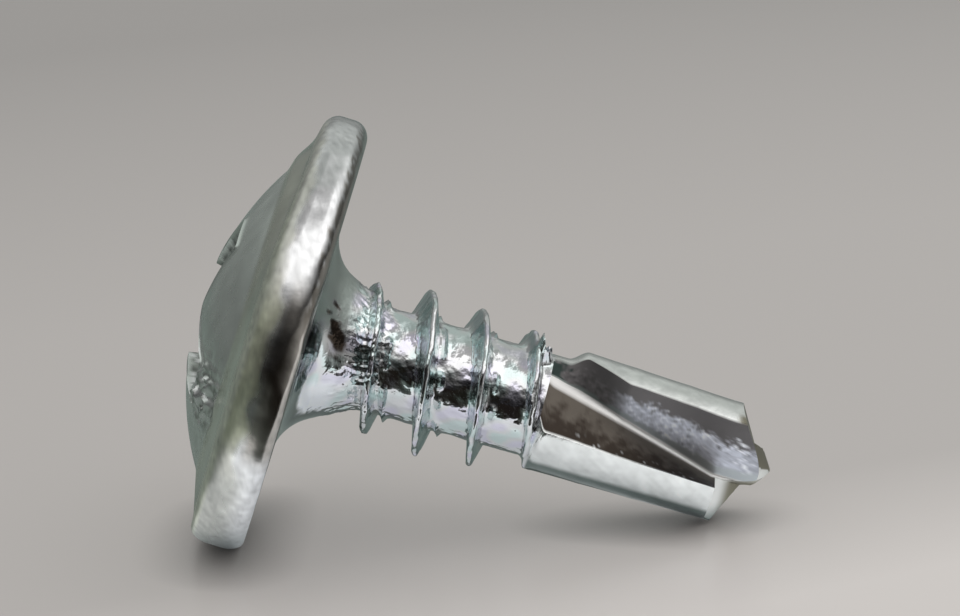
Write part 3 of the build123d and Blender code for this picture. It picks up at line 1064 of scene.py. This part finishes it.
# The whole screw as one closed mesh. Its grids meet at the thread's bottom, at the flutes'
# start, where a step joins the round thread to the fluted drill, and at the drill's end.
def builtScrew():
    columns = screw["columns"]
    head = headGrid()
    threadPoints, threadFaces = threadGrid()
    walls, caps = drillGrids()
    parts, faces, colours, finishes = [], [], [], []

    # Take in a grid: its points, its faces, and the colour and finish of each point
    def add(points, quads, tone=(1, 1, 1), roughness=plate["roughness"], grain=1.0, dents=0.0):
        faces.append(quads + sum(len(part) for part in parts))
        parts.append(points.reshape(-1, 3))
        colours.append(np.broadcast_to(np.asarray(tone, float), points.shape).reshape(-1, 3))
        finish = [np.broadcast_to(value, points.shape[:-1]).ravel() for value in (roughness, grain, dents)]
        finishes.append(np.stack(finish, -1))

    rim = faded(head[..., 2], fades["dents"])
    dents = plate["domeDents"] + (1 - plate["domeDents"]) * rim + plate["burrDents"] * burrShare(head)
    add(head, ringFaces(len(head), columns), *headTones(head), plate["headGrain"], dents)
    add(threadPoints, threadFaces, *threadTones(threadPoints))
    ring = threadPoints.reshape(-1, columns + 1, 3)[-1, :columns]
    add(walls, ringFaces(len(walls), columns), *drillTones(walls), plate["drillGrain"])
    add(np.stack([ring, walls[0]]), ringFaces(2, columns))
    for cap in caps:
        quads = patchFaces(cap.shape[0], cap.shape[1])
        down, across = cap[-1, 0, :2] - cap[0, 0, :2], cap[0, -1, :2] - cap[0, 0, :2]
        if across[0] * down[1] - across[1] * down[0] < 0:  # this patch would face inwards
            quads = quads[:, ::-1]
        add(cap, quads, endTones(cap), plate["wallRoughness"], plate["drillGrain"])
    points = np.concatenate(parts)
    first, quads, triangles = joined(points, np.concatenate(faces))
    points, colours, finishes = points[first], np.concatenate(colours)[first], np.concatenate(finishes)[first]
    print("screw points", len(points), "quads", len(quads), "triangles", len(triangles))
    placed = laid(lumped(points))
    # Painted shade: points close to the table are darkened as a contact shadow
    reach = np.where(points[:, 2] < screw["threadBottom"], fades["contactHeight"], fades["cornerHeight"])
    contactShade = ease((reach - placed[:, 2]) / reach)
    colours = mixed(colours, colours * np.array(tones["contactShade"]), contactShade)
    return builtMesh("zincScrew", placed, quads, triangles, colours, finishes)


# Link an output to a socket, or set a plain value on it.
def feed(tree, socket, value):
    if isinstance(value, bpy.types.NodeSocket):
        tree.links.new(value, socket)
    else:
        socket.default_value = value


# Math node of numbers or outputs.
def calc(tree, operation, *values):
    node = tree.nodes.new("ShaderNodeMath")
    node.operation = operation
    for socket, value in zip(node.inputs, values):
        feed(tree, socket, value)
    return node.outputs[0]


# Two colours mixed by a share, each a colour or an output.
def colourMix(tree, share, first, second, blend="MIX"):
    node = tree.nodes.new("ShaderNodeMix")
    node.data_type = "RGBA"
    node.blend_type = blend
    for name, value in (("Factor_Float", share), ("A_Color", first), ("B_Color", second)):
        socket = next(s for s in node.inputs if s.identifier == name)
        feed(tree, socket, (*value, 1) if isinstance(value, tuple) else value)
    return next(s for s in node.outputs if s.identifier == "Result_Color")


# Colour ramp through (place, colour) stops.
def ramp(tree, value, stops):
    node = tree.nodes.new("ShaderNodeValToRGB")
    elements = node.color_ramp.elements
    while len(elements) < len(stops):
        elements.new(0.5)
    for element, (place, _) in zip(elements, stops):
        element.position = place
    for element, (_, colour) in zip(elements, stops):
        element.color = (*colour, 1)
    feed(tree, node.inputs[0], value)
    return node.outputs[0]


# Noise value over a vector.
def noise(tree, vector, scale, detail):
    node = tree.nodes.new("ShaderNodeTexNoise")
    node.inputs["Scale"].default_value = scale
    node.inputs["Detail"].default_value = detail
    feed(tree, node.inputs["Vector"], vector)
    return node.outputs["Fac"]


# Relief of a noise over a vector, as a normal on top of another one.
def relief(tree, height, distance, strength, normal=None):
    node = tree.nodes.new("ShaderNodeBump")
    node.inputs["Distance"].default_value = distance
    feed(tree, node.inputs["Strength"], strength)
    feed(tree, node.inputs["Height"], height)
    if normal is not None:
        feed(tree, node.inputs["Normal"], normal)
    return node.outputs["Normal"]


# Shares of front, right, behind and left of a level direction: each part, squared, over their sum.
def sides(tree, x, y):
    total = calc(tree, "ADD", calc(tree, "MULTIPLY", x, x), calc(tree, "MULTIPLY", y, y))
    total = calc(tree, "MAXIMUM", total, 1e-12)
    shares = {}
    for name, axis, sign in (("front", y, -1), ("right", x, 1), ("behind", y, 1), ("left", x, -1)):
        part = calc(tree, "MAXIMUM", calc(tree, "MULTIPLY", axis, sign), 0.0)
        shares[name] = calc(tree, "DIVIDE", calc(tree, "MULTIPLY", part, part), total)
    return shares


# Sum of each side's colour times its share.
def bySide(tree, shares, colours):
    total = (0, 0, 0)
    for name, share in shares.items():
        scaled = tree.nodes.new("ShaderNodeVectorMath")
        scaled.operation = "SCALE"
        feed(tree, scaled.inputs[0], colours[name])
        feed(tree, scaled.inputs["Scale"], share)
        added = tree.nodes.new("ShaderNodeVectorMath")
        feed(tree, added.inputs[0], total)
        feed(tree, added.inputs[1], scaled.outputs[0])
        total = added.outputs[0]
    return total


# The three parts of a vector.
def parted(tree, vector):
    node = tree.nodes.new("ShaderNodeSeparateXYZ")
    feed(tree, node.inputs[0], vector)
    return node.outputs[0], node.outputs[1], node.outputs[2]


# An attribute of the mesh.
def attribute(tree, name, output):
    node = tree.nodes.new("ShaderNodeAttribute")
    node.attribute_name = name
    return node.outputs[output]


# A new material, its node tree and its shader.
def newMaterial(name):
    material = bpy.data.materials.new(name)
    material.use_nodes = True
    return material, material.node_tree, material.node_tree.nodes["Principled BSDF"]


# Scales of the plate's noises, in waves per metre, and their detail
plateNoises = {"cloud": (900, 3), "gloss": (1500, 3), "dents": (1000, 1), "grain": (5000, 2)}


# Bright zinc plate: metal, slightly uneven in colour and gloss, with dents and a soft grain.
def zincMaterial():
    material, tree, shader = newMaterial("zincPlate")
    shader.inputs["Metallic"].default_value = 1.0
    place = tree.nodes.new("ShaderNodeTexCoord").outputs["Object"]
    field = {name: noise(tree, place, *values) for name, values in plateNoises.items()}
    bright = plate["colour"]
    dim, full = plate["cloudStops"]
    cloud = ramp(tree, field["cloud"], [(dim, (bright * plate["cloudDark"],) * 3), (full, (bright,) * 3)])
    colour = colourMix(tree, 1.0, attribute(tree, "tone", "Color"), cloud, "MULTIPLY")
    feed(tree, shader.inputs["Base Color"], colour)
    rough, grain, dents = parted(tree, attribute(tree, "finish", "Vector"))
    rough = calc(tree, "ADD", rough, calc(tree, "MULTIPLY_ADD", field["gloss"], *plate["glossUneven"]))
    feed(tree, shader.inputs["Roughness"], calc(tree, "MAXIMUM", rough, plate["smoothest"]))
    dented = relief(tree, field["dents"], plate["dentGrain"], dents)
    feed(tree, shader.inputs["Normal"], relief(tree, field["grain"], plate["grain"], grain, dented))
    return material


# The table, in metres: its colour, and what reflections see of it. They see a pale patch near the screw, a
# painted pool of light whose border bends forward at the left, and farTableShade beyond it, painted shade.
table = {
    "size": 1.2,
    "colour": (0.445, 0.418, 0.402),
    "near": (0.93, 0.95, 0.98),
    "nearCentre": (0.0010, -0.0024),
    "nearWide": 0.3,
    "nearBend": 0.004,
    "nearSkew": 1.1,
    "nearReach": 0.0030,
    "farReach": 0.0040,
    # nearGlow: painted light, the glow of the pattern that reflections see
    "nearGlow": 0.09,
    "glow": 0.45,  # share of its colour that is light of its own, so that shadows stay soft
    "closeReach": 0.0017,  # contact shadow: its reach and strength
    "closeDark": 0.75,
    "closeSamples": 8,
    "roughness": 0.3,
    "gloss": 0.4,
    "slant": 0.5,
    "shade": [(-0.010, 1.35), (-0.005, 1.14), (0.0, 0.96), (0.03, 0.9), (0.095, 0.62)],
    "shadePeak": 1.5,
}
# farTableShade: painted shade that reflections see on each side of the table, darkest in front
farTableShade = {
    "front": (0.012, 0.01, 0.008),
    "right": (0.45, 0.45, 0.45),
    "behind": (0.16, 0.19, 0.18),
    "left": (0.16, 0.18, 0.17),
}


# What reflections see of the table, painted light and shade: the near colour inside an oval round the screw,
# its side's painted shade outside, with a smooth step between. The oval's distance is the root of (wide x)^2
# + y^2.
def nearPattern(tree, x, y):
    bend = calc(tree, "MINIMUM", calc(tree, "ADD", x, table["nearBend"]), 0.0)
    ahead = calc(tree, "SUBTRACT", y, calc(tree, "MULTIPLY", bend, table["nearSkew"]))
    y = calc(tree, "ADD", calc(tree, "MINIMUM", ahead, 0.0), calc(tree, "MAXIMUM", y, 0.0))
    wide = calc(tree, "MULTIPLY", x, table["nearWide"])
    squares = calc(tree, "ADD", calc(tree, "MULTIPLY", wide, wide), calc(tree, "MULTIPLY", y, y))
    reach = tree.nodes.new("ShaderNodeMapRange")
    reach.interpolation_type = "SMOOTHSTEP"
    reach.inputs["From Min"].default_value = table["nearReach"]
    reach.inputs["From Max"].default_value = table["farReach"]
    feed(tree, reach.inputs["Value"], calc(tree, "SQRT", squares))
    return colourMix(tree, reach.outputs["Result"], table["near"], bySide(tree, sides(tree, x, y), farTableShade))


# The table's plain colour: a slanted ramp of brightness over its depth, darker close to the
# screw by its occlusion to the power of closeDark.
def plainTable(tree, x, depth):
    low, high = table["shade"][0][0], table["shade"][-1][0]
    colours = [tuple(v / table["shadePeak"] * c for c in table["colour"]) for _, v in table["shade"]]
    stops = [((y - low) / (high - low), colour) for (y, _), colour in zip(table["shade"], colours)]
    slant = calc(tree, "MULTIPLY", x, table["slant"])
    at = calc(tree, "DIVIDE", calc(tree, "SUBTRACT", calc(tree, "SUBTRACT", depth, slant), low), high - low)
    close = tree.nodes.new("ShaderNodeAmbientOcclusion")
    close.samples = table["closeSamples"]
    close.inputs["Distance"].default_value = table["closeReach"]
    free = calc(tree, "POWER", close.outputs["AO"], table["closeDark"])
    return colourMix(tree, 1.0, ramp(tree, at, stops), free, "MULTIPLY")


# Plain grey table for the viewer; for reflections it carries painted light, white near the screw, and painted
# shade, dark further off.
def tableMaterial():
    material, tree, shader = newMaterial("tableTop")
    shader.inputs["Roughness"].default_value = table["roughness"]
    across, depth, _ = parted(tree, tree.nodes.new("ShaderNodeTexCoord").outputs["Object"])
    x = calc(tree, "SUBTRACT", across, table["nearCentre"][0])
    y = calc(tree, "SUBTRACT", depth, table["nearCentre"][1])
    pattern, plain = nearPattern(tree, x, y), plainTable(tree, x, depth)
    seen = tree.nodes.new("ShaderNodeLightPath").outputs["Is Camera Ray"]
    lit = colourMix(tree, 1.0, plain, ((1 - table["glow"]) * table["shadePeak"],) * 3, "MULTIPLY")
    feed(tree, shader.inputs["Base Color"], colourMix(tree, seen, pattern, lit))
    feed(tree, shader.inputs["Emission Color"], colourMix(tree, seen, pattern, plain))
    more = table["glow"] * table["shadePeak"] - table["nearGlow"]
    feed(tree, shader.inputs["Emission Strength"], calc(tree, "MULTIPLY_ADD", seen, more, table["nearGlow"]))
    feed(tree, shader.inputs["Specular IOR Level"], calc(tree, "MULTIPLY", seen, table["gloss"]))
    return material


# The room: on each side its brightness over the elevation in degrees, and its tint. Its sides
# are turned to the left by turn.
room = {
    "turn": 20,
    "peak": 1.5,
    "front": [(-5, 0.006), (8, 0.008), (18, 0.03), (26, 0.1), (34, 0.3), (41, 1.15)]
    + [(62, 1.15), (69, 0.5), (90, 0.42)],
    "right": [(-5, 0.05), (8, 0.1), (18, 0.35), (30, 0.9), (37, 1.4), (60, 1.4), (68, 0.5), (90, 0.42)],
    "behind": [(-5, 0.22), (12, 0.3), (24, 0.5), (50, 0.5), (68, 0.4), (90, 0.42)],
    "left": [(-5, 0.15), (16, 0.17), (26, 0.25), (33, 0.6), (52, 0.6), (60, 0.45), (90, 0.42)],
    "tint": {"front": (1, 1, 1), "right": (1, 1, 1), "behind": (0.95, 1, 0.97), "left": (0.96, 1, 0.98)},
}


# Room round the table: on each side a ramp of brightness over the elevation, asin(z).
def builtWorld():
    world = bpy.data.worlds.new("room")
    bpy.context.scene.world = world
    world.use_nodes = True
    tree = world.node_tree
    x, y, z = parted(tree, tree.nodes.new("ShaderNodeTexCoord").outputs["Generated"])
    share = calc(tree, "MULTIPLY_ADD", calc(tree, "ARCSINE", z), 1 / math.pi, 0.5)
    cosine, sine = math.cos(math.radians(room["turn"])), math.sin(math.radians(room["turn"]))
    right = calc(tree, "SUBTRACT", calc(tree, "MULTIPLY", x, cosine), calc(tree, "MULTIPLY", y, sine))
    behind = calc(tree, "ADD", calc(tree, "MULTIPLY", x, sine), calc(tree, "MULTIPLY", y, cosine))
    colours = {}
    for name, tint in room["tint"].items():
        stops = [((at + 90) / 180, tuple(v / room["peak"] * c for c in tint)) for at, v in room[name]]
        colours[name] = ramp(tree, share, stops)
    background = tree.nodes["Background"]
    feed(tree, background.inputs["Color"], bySide(tree, sides(tree, right, behind), colours))
    background.inputs["Strength"].default_value = room["peak"]


# Overhead lamp and camera
lamp = {"place": (-0.03, 0.07, 0.1), "size": 0.2, "power": 0.12, "colour": (1, 0.985, 0.965)}
view = {
    "place": (0.0022352, -0.08927396, 0.0264528),
    "turn": (76.96706334, 2.49935495, 0.7533584),
    "lens": 135,
    "sensor": 36,
    "near": 0.005,
}


# Table, room, overhead lamp and camera.
def builtStage():
    half = table["size"] / 2
    corners = [(-half, -half, 0), (half, -half, 0), (half, half, 0), (-half, half, 0)]
    mesh = bpy.data.meshes.new("tableTop")
    mesh.from_pydata(corners, [], [(0, 1, 2, 3)])
    mesh.materials.append(tableMaterial())
    floor = newObject("tableTop", mesh)
    builtWorld()
    light = bpy.data.lights.new("overhead", "AREA")
    light.size, light.energy, light.color = lamp["size"], lamp["power"], lamp["colour"]
    overhead = newObject("overhead", light)
    overhead.location = lamp["place"]
    overhead.visible_glossy = False
    lens = bpy.data.cameras.new("viewCamera")
    lens.lens, lens.sensor_width, lens.clip_start = view["lens"], view["sensor"], view["near"]
    camera = newObject("viewCamera", lens)
    camera.location = view["place"]
    camera.rotation_euler = [math.radians(v) for v in view["turn"]]
    bpy.context.scene.camera = camera


piece = builtScrew()
piece.data.materials.append(zincMaterial())
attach(piece, "root")
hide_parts("self_drilling_screw")
print("screw built")
builtStage()
print("stage built")
bpy.context.scene.view_settings.view_transform = "Standard"
